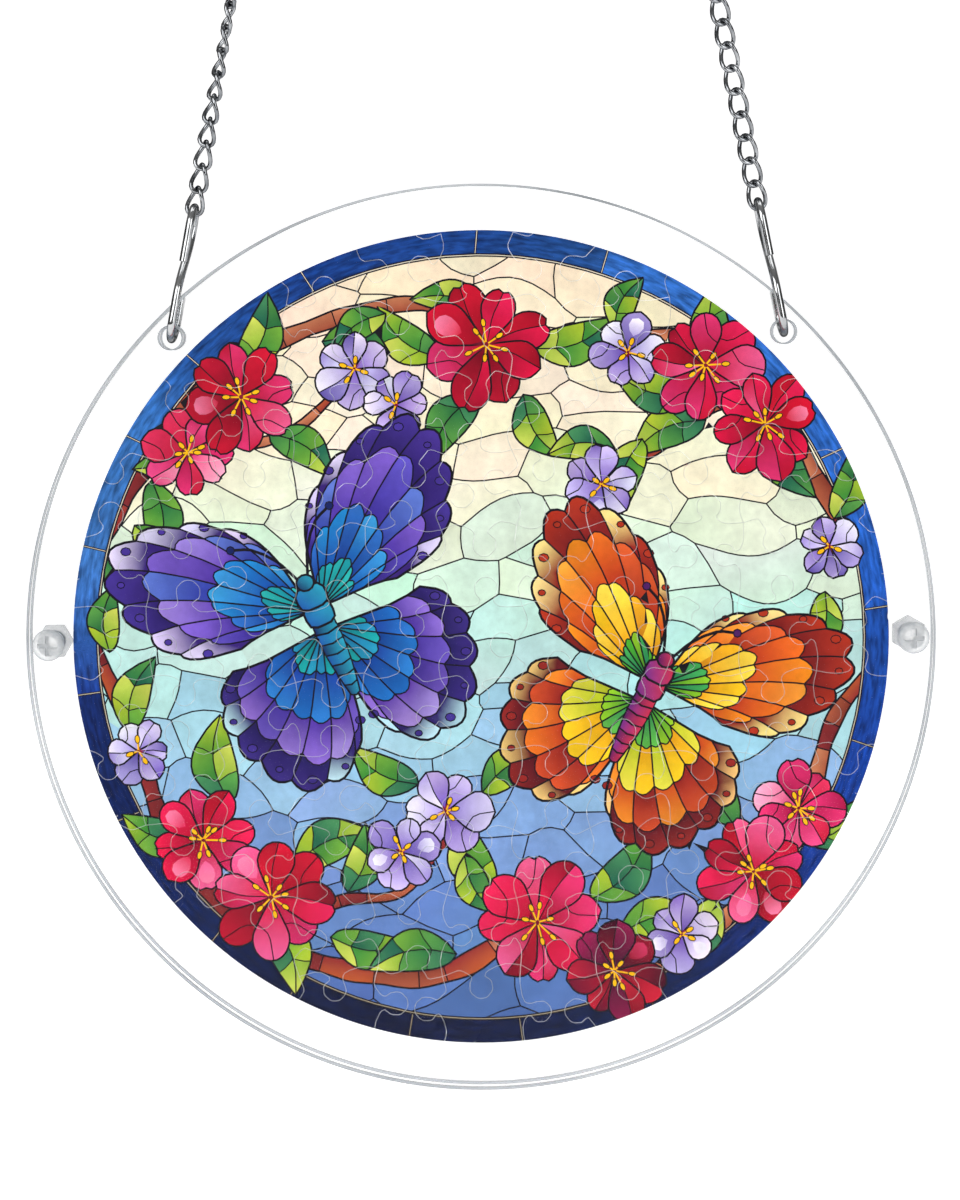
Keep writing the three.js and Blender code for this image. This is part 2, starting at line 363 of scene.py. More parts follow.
def plate(name, node):
    """A clear disc with eased edges and four holes."""
    low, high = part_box(node)
    front, back = low.y / MM, high.y / MM
    rims = [(0, 0, PLATE_RADIUS, RIM_SEGMENTS, 1)]
    for side in (-1, 1):
        rims.append((side * HOLE, HOLE, HANG_HOLE_RADIUS, HOLE_SEGMENTS, -1))
        rims.append((side * HOLE_CIRCLE, 0, SCREW_RADIUS + BORE_CLEARANCE, HOLE_SEGMENTS, -1))
    easing = [(a * PLATE_BEVEL, b * PLATE_BEVEL) for a, b in ((0, 1), (0.3, 0.3), (1, 0))]
    levels = [(front + rise, inset) for rise, inset in easing]
    levels += [(back - rise, inset) for rise, inset in easing[::-1]]
    verts, faces, starts = [], [], []
    for y, inset in levels:
        loops = []
        for x, z, radius, count, sense in rims:
            reach = radius - sense * inset
            turns = [2 * math.pi * k / count for k in range(count)]
            loops.append(
                [(x + reach * math.cos(t), y, DISC_Z + z + reach * math.sin(t)) for t in turns]
            )
        starts.append(len(verts))
        verts += [v for loop in loops for v in loop]
        if y in (front, back):
            flat = [[Vector((x, z, 0)) for x, _, z in loop] for loop in loops]
            faces += [tuple(starts[-1] + k for k in tri) for tri in tessellate_polygon(flat)]
    for here, ahead in zip(starts, starts[1:]):
        for _, _, _, count, _ in rims:
            for k in range(count):
                j = (k + 1) % count
                faces.append((here + k, here + j, ahead + j, ahead + k))
            here, ahead = here + count, ahead + count
    mesh = closed_mesh(name, verts, faces)
    # Faces turned side-on take the edge materials, whose greys are painted light and shade.
    for face in mesh.polygons:
        facing = abs(face.normal.y)
        face.material_index = 0 if facing > 0.999 else 2 if facing > 0.1 else 1
    return finished(name, mesh, [ACRYLIC, EDGE, ARRIS], [node], 0.1)


plate("acrylic_front_disc", "front_plate")
plate("acrylic_back_disc", "back_plate")


# The picture, in millimetres from the disc's centre, laid down in order

rng = random.Random(41)
layers = []
paints = []


def varied(code, amount):
    """A colour with its lightness and hue a little off, as glass differs from sheet to sheet."""
    lift = 1 + rng.uniform(-amount, amount)
    return [min(1, c * lift * (1 + rng.uniform(-amount, amount) / 3)) for c in linear(code)]


def paint(low, high=None, start=(0, 0), end=(0, 1), brushed=0.0):
    """A row of the paint table: a colour that runs into a second one from start to end."""
    a, b = np.array(start, float), np.array(end, float)
    axis = (b - a) / max(1e-9, (b - a) @ (b - a))
    paints.append((*low, *(high if high is not None else low), *a, *axis, brushed))
    return len(paints) - 1


def glass(low, high, amount, start, end):
    """A paint that runs between two colours, each a little off its hex."""
    return paint(varied(low, amount), varied(high, amount), start, end)


LEAD = paint(linear("#17141c"))
CORE = paint(linear("#a89a80"), linear("#e0d6c2"), (0, -80), (0, 80))
BARE_AND_EDGE_LIGHT = paint(linear("#eef0f0"))  # acrylic that the ink doesn't cover, on the walls; beside each cut it is painted light
STAMEN = paint(linear("#f5b815"))


def thinned(line, slack=0.09):
    """A line without the points that lie within a small distance of its chords."""
    if len(line) < 3:
        return line
    chord = line[-1] - line[0]
    length = np.linalg.norm(chord)
    off = line[1:-1] - line[0]
    if length < 1e-6:
        gap = np.linalg.norm(off, axis=1)
    else:
        gap = np.abs(off[:, 0] * chord[1] - off[:, 1] * chord[0]) / length
    far = int(np.argmax(gap)) + 1
    if gap[far - 1] < slack:
        return line[[0, -1]]
    return np.vstack([thinned(line[: far + 1], slack)[:-1], thinned(line[far:], slack)])


def fill(points, colour):
    layers.append(("fill", np.array(points, float), colour, 0, 0))


def lead(points, width=0.5, core=0.0, colour=LEAD):
    """A drawn line; a wide one has a light core."""
    layers.append(("line", thinned(np.array(points, float)), colour, width, core))


def closed(points):
    points = list(points)
    return points + points[:1]


def outlined(loop, colour, width):
    """A pane with a drawn line all round it."""
    fill(loop, colour)
    lead(closed(loop), width)


def polar(radius, degrees):
    turn = math.radians(degrees)
    return (radius * math.cos(turn), radius * math.sin(turn))


def blend(stops, at):
    """A colour between stops of (place, hex), by place."""
    places = [s[0] for s in stops]
    table = np.array([linear(s[1]) for s in stops])
    return [float(np.interp(at, places, table[:, k])) for k in range(3)]


SKY = [
    (-85, "#46639f"), (-58, "#5f80b8"), (-38, "#7f9fcf"), (-24, "#93bfd6"), (-8, "#acd6d2"),
    (10, "#c8e2d0"), (28, "#e0e6cb"), (44, "#efe4c8"), (85, "#f1dcc0"),
]


PANE_COUNT = 205
PANE_STRETCH = 1.85  # how much wider than tall


def sky_panes():
    """Background panes: cells about scattered points, wider than tall, with bent sides."""
    ground = paint(linear(SKY[1][1]), linear(SKY[-2][1]), (0, -58), (0, 44))
    fill([polar(JIGSAW_RADIUS + 2, t) for t in range(0, 360, 5)], ground)
    seeds = []
    while len(seeds) < PANE_COUNT:
        tries = ((rng.uniform(-96, 96), rng.uniform(-96, 96) * PANE_STRETCH) for _ in range(12))
        seeds.append(max(tries, key=lambda p: min((math.dist(p, q) for q in seeds), default=0)))
    sides = {}

    def side(a, b):
        """The bent line between two corners, the same from both cells."""
        key = (min(a, b), max(a, b))
        if key not in sides:
            p, q = np.array(key[0]), np.array(key[1])
            length = np.linalg.norm(q - p)
            count = max(1, round(length / 2.4))
            t = np.linspace(0, 1, count + 1)[:, None]
            across = np.array([p[1] - q[1], q[0] - p[0]]) * rng.uniform(-0.13, 0.13)
            x, y = (p + (q - p) * t + across * np.sin(math.pi * t)).T
            sides[key] = np.column_stack(
                [x + 1.6 * np.sin(y / 9 + 1), y + 2.0 * np.sin(x / 13 + 0.4) + 1.1 * np.sin(x / 6)]
            )
        return sides[key] if (a, b) == key else sides[key][::-1]

    for k, seed in enumerate(seeds):
        cell = [(-120, -180), (120, -180), (120, 180), (-120, 180)]
        for j, other in enumerate(seeds):
            if j == k or math.dist(seed, other) > 90:
                continue
            mid = ((seed[0] + other[0]) / 2, (seed[1] + other[1]) / 2)
            away = (other[0] - seed[0], other[1] - seed[1])
            depth = [(p[0] - mid[0]) * away[0] + (p[1] - mid[1]) * away[1] for p in cell]
            kept = []
            for i, p in enumerate(cell):
                q, dp, dq = cell[i - 1], depth[i], depth[i - 1]
                if (dp > 0) != (dq > 0):
                    s = dq / (dq - dp)
                    kept.append((q[0] + (p[0] - q[0]) * s, q[1] + (p[1] - q[1]) * s))
                if dp <= 0:
                    kept.append(p)
            cell = kept
        cell = [(round(x, 3), round(y / PANE_STRETCH, 3)) for x, y in cell]
        cell = [p for i, p in enumerate(cell) if math.dist(p, cell[i - 1]) > 0.02]
        if len(cell) < 3:
            continue
        loop = np.vstack([side(cell[i - 1], p)[:-1] for i, p in enumerate(cell)])
        seen = loop[np.hypot(loop[:, 0], loop[:, 1]) < JIGSAW_RADIUS]
        if not len(seen):
            continue
        middle = seen.mean(0)
        tone = blend(SKY, middle[1] + rng.uniform(-8, 8))
        lift = rng.uniform(0.93, 1.03)
        low = [min(1, c * lift * rng.uniform(0.97, 1.03)) for c in tone]
        high = [min(1, c * lift * rng.uniform(0.98, 1.16)) for c in tone]
        turn = rng.uniform(0, 2 * math.pi)
        swing = 8 * np.array([math.cos(turn), math.sin(turn)])
        fill(loop, paint(low, high, middle - swing, middle + swing))
    for line in sides.values():
        if min(np.hypot(line[:, 0], line[:, 1])) < JIGSAW_RADIUS:
            lead(line, 0.32)


BAND_INSIDE = 84.6
RIM = [
    (0, "#1c50ae"), (35, "#2c66bc"), (62, "#3672c4"), (85, "#2256ae"), (105, "#1a4aa4"),
    (128, "#16408c"), (146, "#2f70c4"), (160, "#5a9ee0"), (170, "#2258b0"), (190, "#142f80"),
    (215, "#142a66"), (255, "#151d42"), (300, "#16244f"), (335, "#12399a"), (360, "#1c50ae"),
]


def border():
    """A ring of brushed blue tiles round the picture."""
    marks = []
    at = 4.0
    while at < 356:
        marks.append(at)
        at += rng.uniform(11, 25)
    for start, end in zip(marks, marks[1:] + [marks[0] + 360]):
        turns = np.linspace(start, end, 8)
        loop = [polar(BAND_INSIDE, t) for t in turns] + [polar(91, t) for t in turns[::-1]]
        low, high = blend(RIM, start % 360), blend(RIM, end % 360)
        lift = rng.uniform(0.42, 0.9)
        low, high = [[min(1, c * lift) for c in tone] for tone in (low, high)]
        fill(loop, paint(low, high, polar(87, start), polar(87, end), 1.0))
    for mark in marks:
        tip = mark + rng.uniform(-0.6, 0.6)
        divider = [polar(BAND_INSIDE, mark), polar(88, (mark + tip) / 2), polar(91, tip)]
        lead(divider, 0.55, 0.14)
    lead([polar(BAND_INSIDE, t) for t in np.linspace(0, 360, 241)], 0.8, 0.18)


def placed(x, y, turn, scale=1.0, flip=1):
    """A function that puts a point of a motif in the picture."""
    c, s = math.cos(math.radians(turn)), math.sin(math.radians(turn))

    def put(a, b):
        a *= flip
        return (x + scale * (a * c - b * s), y + scale * (a * s + b * c))

    return put


def ellipse(put, x, y, a, b, count=14):
    turns = [2 * math.pi * k / count for k in range(count)]
    return [put(x + a * math.cos(t), y + b * math.sin(t)) for t in turns]


def wing(put, hinge, outline, cells, rings, palette, sweep):
    """A wing of leaded cells: sectors about its hinge, cut across in rings, spotted at the rim."""
    spokes = smooth_path(outline, 0.5)
    first, last = outline[0][0], outline[-1][0]

    def reach(angle, part):
        base = np.interp(angle, spokes[:, 0], spokes[:, 1])
        return base * (1 - 0.055 * (1 - math.sin(math.pi * part)))

    def at(step, k):
        """A point at a share k of the way out, step sectors round the hinge."""
        angle = first + (last - first) * step / cells
        length = k * reach(angle, step % 1 if 0 < step < cells else 0)
        turn = math.radians(angle + sweep * k * (1 - k))
        return put(hinge[0] + length * math.cos(turn), hinge[1] + length * math.sin(turn))

    table = []
    for j, ring in enumerate(rings):
        slack = 0 if j in (0, len(rings) - 1) else 0.045
        table.append([ring + rng.uniform(-slack, slack) for _ in range(cells + 1)])

    def arc(j, s):
        a, b = table[j][s], table[j][s + 1]
        return [at(s + u, a * (1 - u) + b * u) for u in np.linspace(0, 1, 6)]

    def spoke(j, s):
        return [at(s, k) for k in np.linspace(table[j][s], table[j + 1][s], 5)]

    for s in range(cells):
        for j in range(len(rings) - 1):
            loop = arc(j, s) + spoke(j, s + 1)[1:]
            loop += arc(j + 1, s)[::-1][1:] + spoke(j, s)[::-1][1:-1]
            low, high = palette[j][(s + rng.randrange(2)) % len(palette[j])]
            start, end = at(s + 0.5, table[j][s]), at(s + 0.5, table[j + 1][s])
            fill(loop, glass(low, high, 0.14, start, end))
    for j in range(1, len(rings) - 1):
        for s in range(cells):
            lead(arc(j, s), 0.34)
    for s in range(1, cells):
        lead([at(s, k) for k in np.linspace(rings[0], 1, 14)], 0.36)
    for s in range(cells):
        middle = at(s + 0.5, 0.925)
        spot = placed(*middle, 0)
        size = 0.85 if s % 2 else 1.15
        dark = paint(varied(palette[-1][0][1], 0.1))
        outlined(ellipse(spot, 0, 0, size, size * 0.8, 8), dark, 0.25)
    rim = [at(0, k) for k in np.linspace(rings[0], 1, 14)]
    for s in range(cells):
        rim += [at(s + u, 1) for u in np.linspace(0, 1, 7)[1:]]
    rim += [at(cells, k) for k in np.linspace(1, rings[0], 14)[1:]]
    lead(rim, 0.56)


# Outlines of the wings as (degrees, reach) about the hinge
FOREWING = [
    (-4, 19), (4, 31), (14, 37), (24, 43), (34, 47), (43, 46), (53, 39), (64, 30), (76, 20),
]
HINDWING = [(-94, 13), (-84, 27), (-71, 34), (-56, 36), (-42, 34), (-28, 32), (-14, 29), (0, 23)]


def butterfly(x, y, turn, scale, fore, hind, body):
    """A butterfly seen from above, its head up before it is turned."""
    for hinge, outline, cells, rings, palette, sweep in (
        (-2.5, HINDWING, 7, [0.06, 0.3, 0.6, 0.84, 1], hind, -16),
        (2.5, FOREWING, 8, [0.05, 0.26, 0.52, 0.8, 1], fore, 14),
    ):
        for flip in (-1, 1):
            put = placed(x, y, turn, scale, flip)
            wing(put, (1.0, hinge), outline, cells, rings, palette, sweep)
    put = placed(x, y, turn, scale)
    for flip in (-1, 1):
        feeler = [put(flip * a, b) for a, b in ((0.8, 9), (3.4, 15), (7.5, 20), (12, 22))]
        lead(smooth_path(feeler, 1.5), 0.65)
        club = ellipse(placed(*put(flip * 12, 22), 0), 0, 0, 0.9, 0.9, 8)
        outlined(club, paint(linear(body[0])), 0.3)
    for k in range(7):
        low, high = -18 + 2.5 * k, -15.5 + 2.5 * k
        a, b = [1.0 + 1.7 * math.sin((k + step) / 7 * 1.9) for step in (0.2, 1.2)]
        loop = [put(-a, low), put(0, low - 0.5), put(a, low)]
        loop += [put(b, high), put(0, high - 0.5), put(-b, high)]
        outlined(loop, glass(body[k % 2], body[2], 0.1, put(-b, low), put(b, low)), 0.45)
    for low, high, half in ((-0.8, 3.4, 2.9), (3.4, 7.2, 3.1)):
        loop = [put(-half, low), put(0, low - 0.7), put(half, low)]
        loop += [put(half, high), put(0, high + 0.7), put(-half, high)]
        pane = glass(body[1], body[2], 0.1, put(-3, low), put(3, high))
        outlined(smooth_path(loop, 1.6, True)[:-1], pane, 0.55)
    head = paint(linear(body[0]), linear(body[2]), put(-2, 8), put(2, 10))
    outlined(ellipse(put, 0, 8.7, 2.0, 1.8, 12), head, 0.5)


def flower(x, y, radius, turn, palette, count=8, width=0.31, stamens=7):
    """A flower of rounded petals of uneven size, some in two panes, and yellow stamens."""
    order = list(range(0, count, 2)) + list(range(1, count, 2))
    for k in order:
        size = radius * rng.uniform(0.86, 1.06)
        put = placed(x, y, turn + 360 * k / count + rng.uniform(-6, 6), size)
        wide = width * rng.uniform(0.9, 1.15)
        lean = rng.uniform(-0.06, 0.06)
        shape = [(0.05, 0.02), (0.3, wide * 0.55), (0.62, wide), (0.87, wide * 0.8)]
        shape.append((0.99, wide * 0.3))
        notch = (rng.choice((0.95, 1.0, 1.03)), lean)
        upper, lower = [
            smooth_path([put(a, side * b + lean * a) for a, b in shape] + [put(*notch)], 1.4)
            for side in (1, -1)
        ]
        low, high = rng.choice(palette)[:2]
        whole = glass(low, high, 0.15, put(0.12, 0), put(0.95, 0))
        fill(np.vstack([upper, lower[::-1]]), whole)
        kind = rng.random()
        if kind < 0.5:
            spine = smooth_path([put(0.05, 0), put(0.5, 0.05 + lean / 2), put(*notch)], 1.6)
            low, high = rng.choice(palette)[:2]
            half = glass(high, low, 0.15, put(0.1, 0.1), put(1.0, 0.1))
            fill(np.vstack([upper, spine[::-1]]), half)
            lead(spine, 0.26)
        elif kind < 0.88:
            side = rng.choice((1, -1))
            vein = [(0.42, side * wide * 0.8), (0.6, side * wide * 0.15), (1.0, -side * wide * 0.1)]
            lead(smooth_path([put(*point) for point in vein], 1.5), 0.26)
        else:
            glow = [(0.42, 0), (0.6, wide * 0.45), (0.8, wide * 0.4), (0.86, 0)]
            glow += [(0.78, -wide * 0.42), (0.6, -wide * 0.4)]
            glow = smooth_path([put(*point) for point in glow], 1.4, True)[:-1]
            shine = glass(high, palette[0][2], 0.1, put(0.4, 0), put(0.86, 0))
            edge = thinned(np.vstack([glow, glow[:1]]))
            fill(edge[:-1], shine)
            lead(edge, 0.1, colour=shine)
        lead(np.vstack([upper, lower[::-1][1:]]), 0.42)
    put = placed(x, y, turn, radius)
    heart = paint(linear("#5c0f24"), linear("#8f1330"), put(-0.1, 0), put(0.1, 0))
    fill(ellipse(put, 0, 0, 0.14, 0.12, 10), heart)
    for k in range(stamens):
        angle = 2 * math.pi * (k + rng.uniform(0.0, 0.8)) / stamens
        tip = rng.uniform(0.17, 0.36)
        a, b = tip * math.cos(angle), tip * math.sin(angle)
        lead([put(a * 0.15, b * 0.15), put(a * 0.9, b * 0.9)], 0.36, colour=STAMEN)
        anther = placed(*put(a, b), math.degrees(angle) + turn)
        outlined(ellipse(anther, 0, 0, 0.95, 0.55, 8), STAMEN, 0.22)


GREENS = [
    ("#3a8434", "#74a83a"), ("#649a2e", "#b0c030"), ("#2a6e3c", "#5a9a44"), ("#8cae38", "#c8d058"),
    ("#1e6048", "#468a56"),
]


def leaf(x, y, turn, length, half, bend=0.12):
    """A pointed leaf of six panes about a bent midrib."""
    put = placed(x, y, turn, length)

    def at(s, side):
        spread_at = half / length * math.sin(math.pi * s**0.8) ** 0.85 if 0 < s < 1 else 0
        return put(s, bend * math.sin(math.pi * s) + side * spread_at)

    cuts = [0, 0.36, 0.67, 1]
    for side in (1, -1):
        tones = rng.sample(GREENS, 3)
        for (s0, s1), (low, high) in zip(zip(cuts, cuts[1:]), tones):
            edge = [at(s, side) for s in np.linspace(s0, s1, 6)]
            rib = [at(s - 0.1 if 0.01 < s < 0.99 else s, 0) for s in np.linspace(s1, s0, 4)]
            fill(edge + rib, glass(low, high, 0.1, at(s0, 0), at(s1, side)))
    for side in (1, -1):
        for s in cuts[1:-1]:
            lead([at(s - 0.1, 0), at(s - 0.03, side * 0.55), at(s, side)], 0.26)
    lead([at(s, 0) for s in np.linspace(0, 1, 9)], 0.32)
    rim = [at(s, 1) for s in np.linspace(0, 1, 14)]
    lead(rim + [at(s, -1) for s in np.linspace(1, 0, 14)[1:]], 0.44)


BARK = [
    ("#6f2226", "#8a2b2b"), ("#8a2b2b", "#b3532b"), ("#7a3226", "#a8563a"), ("#9c4a34", "#c47a56"),
]


def branch(points, start, end):
    """A branch of short leaded lengths that grows thinner."""
    spine = smooth_path(points, 2.0)
    along = np.gradient(spine, axis=0)
    along /= np.linalg.norm(along, axis=1)[:, None]
    across = np.column_stack([-along[:, 1], along[:, 0]])
    half = np.linspace(start, end, len(spine))[:, None] / 2
    wobble = 1 + 0.12 * np.sin(np.arange(len(spine)) * 0.9)[:, None]
    upper, lower = spine + across * half * wobble, spine - across * half * wobble
    k = 0
    while k < len(spine) - 1:
        n = min(len(spine) - 1, k + rng.randrange(3, 7))
        low, high = rng.choice(BARK)
        loop = np.vstack([upper[k : n + 1], lower[k : n + 1][::-1]])
        fill(loop, glass(low, high, 0.1, lower[k], upper[k]))
        if k:
            lead([upper[k], lower[k]], 0.3)
        k = n
    for line in (upper, lower):
        lead(line, 0.44)


RED = [
    ("#9c0a22", "#d01030", "#ec7a9c"), ("#74081e", "#b40e2c"), ("#b80c2c", "#dc1c50"),
    ("#a80c2a", "#d8306c"), ("#8c0a24", "#dc1444"), ("#c01038", "#ea5c90"),
]
PINK = [
    ("#b01448", "#ec4a84", "#f8c0d4"), ("#c81e58", "#f27aa4"), ("#a01040", "#e03070"),
    ("#c01838", "#e0305c"), ("#d83070", "#f8a4c0"),
]
VIOLET = [
    ("#7a5cb8", "#c9bbe6", "#f0ecf8"), ("#6a4bb0", "#b6a4d8"), ("#8f7cc8", "#ded4f0"),
    ("#5b4aa0", "#a898d6"), ("#a896d8", "#ece6f6"),
]
WINE = [
    ("#3a0a20", "#8a1028", "#c03058"), ("#5c0c28", "#a81430"), ("#44102c", "#901848"),
    ("#7a0e24", "#c01c34"),
]

COOL_FORE = [
    [("#0c6d80", "#1a9aa0"), ("#12579a", "#1f8cb8"), ("#0a7f86", "#2ab0a8")],
    [("#14479c", "#1f7fc0"), ("#1a5cb0", "#3a9ad4"), ("#183c8c", "#2c6cc0")],
    [
        ("#3a2a8c", "#5b4bb8"), ("#4b3297", "#7a5cc4"),
        ("#5a3aa4", "#9178cc"), ("#2f3c98", "#5c74c8"),
    ],
    [("#2c1c66", "#43308c"), ("#351f70", "#d9cdf0")],
]
COOL_HIND = [
    [("#0a6a78", "#18a0a0"), ("#0f5c8c", "#2490b4")],
    [("#1a3f98", "#2a78c4"), ("#123a86", "#1c66b4")],
    [("#4b3297", "#8a6cc8"), ("#3c2a88", "#6a54b8"), ("#5c3c9c", "#a48cd4")],
    [("#241a58", "#3c2c80"), ("#2c1f62", "#b9e0ea")],
]
WARM_FORE = [
    [("#1f7a3c", "#4fae2b"), ("#3c8f2c", "#8cc024"), ("#176b4a", "#3fa050")],
    [("#d89010", "#f5c820"), ("#e8a818", "#f7d84a"), ("#c87c14", "#f0b020")],
    [
        ("#c84a1c", "#e8871a"), ("#b83a1c", "#e06a1e"),
        ("#a8301c", "#d4582a"), ("#d8641c", "#f09a34"),
    ],
    [("#7a1c1c", "#a8301c"), ("#86201c", "#f7dc8a")],
]
WARM_HIND = [
    [("#2f8f33", "#8cc024"), ("#1f7a4c", "#5cb044")],
    [("#e0a014", "#f5c820"), ("#a8b41e", "#dcd040")],
    [("#b8381c", "#e0701e"), ("#c84a1c", "#ec8c28"), ("#8f2420", "#c84a24")],
    [("#5c1620", "#8a2420"), ("#641a22", "#f5c87a")],
]


def draw_picture():
    """Panes, border, a wreath of branches, leaves and flowers, and two butterflies."""
    sky_panes()
    branch([(12, -62), (-12, -75), (-46, -68), (-68, -46), (-77, -20), (-88, 4)], 4.8, 3.2)
    branch([(-90, 12), (-76, 36), (-58, 58), (-34, 70), (-12, 74), (2, 66)], 5.2, 2.6)
    branch([(-66, 50), (-52, 44), (-40, 47), (-28, 58)], 2.8, 1.4)
    branch([(14, -62), (34, -76), (54, -62), (70, -42), (78, -18), (90, -4)], 4.8, 3.0)
    branch([(92, 4), (77, 30), (64, 52), (48, 66), (33, 66)], 4.6, 2.2)
    branch([(64, 54), (50, 50), (40, 42), (28, 36)], 2.8, 1.4)
    branch([(-46, -66), (-32, -58), (-18, -56), (-6, -42)], 3.0, 1.4)
    border()
    for x, y, turn, length, half in (
        (-8, 62, 140, 18, 4.4), (12, 64, 20, 19, 4.6), (0, 54, 235, 18, 4.6),
        (10, 54, 300, 16, 4.2), (2, 72, 170, 17, 3.8), (50, 48, 205, 18, 4.6),
        (64, 48, 300, 20, 4.6), (54, 60, 95, 18, 4.4), (48, 54, 165, 19, 4.4),
        (36, 44, 255, 17, 4.2), (30, 42, 185, 15, 3.8), (-60, 46, 205, 18, 4.4),
        (-52, 60, 70, 18, 4.4), (-46, 46, 325, 17, 4.2), (-72, 36, 270, 19, 4.4),
        (-76, 26, 300, 16, 4.0), (-34, 66, 350, 15, 4.0), (-56, -36, 95, 20, 5.0),
        (-42, -50, 20, 20, 5.0), (-64, -44, 160, 17, 4.4), (-48, -62, 290, 18, 4.8),
        (-34, -66, 355, 18, 4.4), (-30, -56, 75, 16, 4.2), (2, -56, 110, 18, 4.8),
        (24, -58, 50, 20, 5.0), (-6, -70, 190, 20, 4.8), (30, -66, 10, 19, 4.6),
        (56, -42, 105, 19, 4.6), (72, -46, 40, 16, 4.0), (52, -58, 230, 18, 4.6),
        (78, 26, 75, 16, 4.0), (76, 10, 255, 15, 3.8), (-78, -20, 70, 18, 4.2),
        (-14, -32, 150, 17, 4.4), (0, -34, 30, 17, 4.2), (-4, -48, 300, 15, 3.8),
        (30, 68, 60, 13, 3.6), (-20, 72, 215, 14, 3.6), (-82, -2, 85, 15, 3.6),
        (-74, 20, 215, 11, 3.0),
    ):
        leaf(x, y, turn, length, half, rng.choice((-0.13, 0.13)))
    for row in (
        (-27, 60, 9, 30, VIOLET, 6, 0.38, 4), (-18, 52, 7.5, 0, VIOLET, 6, 0.38, 3),
        (33, 63, 8.5, 10, VIOLET, 6, 0.38, 4), (27, 34, 8.5, 20, VIOLET, 6, 0.38, 4),
        (-8, -38, 10, 60, VIOLET, 6, 0.38, 4), (-18, -47, 8.5, 15, VIOLET, 6, 0.38, 4),
        (-76, -24, 7.5, 0, VIOLET, 6, 0.38, 3), (77, 20, 7.5, 40, VIOLET, 6, 0.38, 3),
        (44, -66, 8.5, 20, VIOLET, 6, 0.38, 4), (-64, 42, 10, 12, PINK, 7, 0.34),
        (70, -38, 10.5, 50, PINK, 7, 0.34),
    ):
        flower(*row)
    butterfly(-35, 5, 24, 1.0, COOL_FORE, COOL_HIND, ("#14205c", "#1c4f9c", "#2a9ab4"))
    butterfly(37, -12, -28, 0.94, WARM_FORE, WARM_HIND, ("#4a1a5c", "#6a2f86", "#c03048"))
    for row in (
        (-52, 54, 13, 12, RED), (2, 65, 14.5, 20, RED), (50, 60, 12.5, 40, RED),
        (63, 47, 12.5, 55, RED), (-62, -44, 12.5, 10, RED), (-47, -57, 14, 40, RED),
        (12, -63, 15, 5, RED), (29, -74, 11.5, 35, WINE, 7, 0.34), (60, -52, 12.5, 25, RED),
    ):
        flower(*row)


draw_picture()


# The jigsaw's cuts

CUT_PITCH = 16.4
CUT_GAP = 0.05
CUT_BAND = 0.14
CUT_CHAMFER = 0.05
# How strongly the painted light beside each cut pales the ink
CUT_EDGE_LIGHT = 0.34
SMALLEST_PIECE = 95  # square millimetres
GRID = 11
CRUMB = 8  # square millimetres; a smaller loose bit is dropped
JIGSAW_SEGMENTS = 288
STROKE_STRETCH = 5  # how much longer than wide the brush strokes are


def cut_line(start, end, sense):
    """One side between two pieces: a bent line with a round knob near its middle."""
    p, q = np.array(start), np.array(end)
    length = np.linalg.norm(q - p)
    along = (q - p) / length
    across = np.array([-along[1], along[0]]) * sense
    mid = length * rng.uniform(0.43, 0.57)
    radius = rng.uniform(2.45, 2.85)
    rise = radius * rng.uniform(1.3, 1.5)
    slant = rng.uniform(-0.7, 0.7)
    dip = rng.uniform(0.2, 1.4)
    neck = [(radius * 0.95, 0.1), (radius * 0.56, rise * 0.36)]
    shape = [(0, 0), (length * 0.2, -dip)] + [(mid - a, b) for a, b in neck]
    for degrees in (205, 160, 118, 90, 62, 20, -25):
        a, b = polar(radius, degrees)
        shape.append((mid + slant + a, rise + b))
    shape += [(mid + a, b) for a, b in neck[::-1]] + [(length * 0.8, -dip), (length, 0)]
    return smooth_path([p + along * a + across * b for a, b in shape], 0.7)


def jigsaw_cuts():
    """The lines between pieces, with no sliver of a piece left at the rim."""
    reach = CUT_PITCH * GRID / 2
    nodes = {
        (i, j): tuple(k * CUT_PITCH - reach + rng.uniform(-1.3, 1.3) for k in (i, j))
        for i in range(GRID + 1)
        for j in range(GRID + 1)
    }
    shares = {}
    for i in range(GRID):
        for j in range(GRID):
            x0, y0 = i * CUT_PITCH - reach, j * CUT_PITCH - reach
            steps = [(k + 0.5) / 10 * CUT_PITCH for k in range(10)]
            hits = [math.hypot(x0 + a, y0 + b) < JIGSAW_RADIUS for a in steps for b in steps]
            shares[i, j] = sum(hits) / len(hits)
    joined = set()
    for (i, j), share in shares.items():
        if 0 < share < 0.42:
            around = [(i - 1, j), (i + 1, j), (i, j - 1), (i, j + 1)]
            best = max(around, key=lambda c: shares.get(c, 0))
            joined.add(frozenset([(i, j), best]))
    lines = []
    for (i, j), point in nodes.items():
        flip = 1 if (i + j) % 2 else -1
        for ahead, cell in (((i + 1, j), (i, j - 1)), ((i, j + 1), (i - 1, j))):
            if ahead in nodes and frozenset([(i, j), cell]) not in joined:
                lines.append(cut_line(point, nodes[ahead], flip))
    return [line for line in lines if min(np.hypot(line[:, 0], line[:, 1])) < JIGSAW_RADIUS]


# From lines to a mesh


def inside(points, loop):
    """Which of the points lie in a closed loop."""
    x, y = points[:, :1], points[:, 1:]
    x0, y0 = loop[:, 0], loop[:, 1]
    x1, y1 = np.roll(x0, -1), np.roll(y0, -1)
    rise = np.where(y1 == y0, 1e-12, y1 - y0)
    crossed = ((y0 > y) != (y1 > y)) & (x < x0 + (y - y0) * (x1 - x0) / rise)
    return crossed.sum(1) % 2 == 1


def near(points, shape, margin=0.0):
    """The indices of the points in a shape's box."""
    low, high = shape.min(0) - margin, shape.max(0) + margin
    return np.flatnonzero(((points >= low) & (points <= high)).all(1))


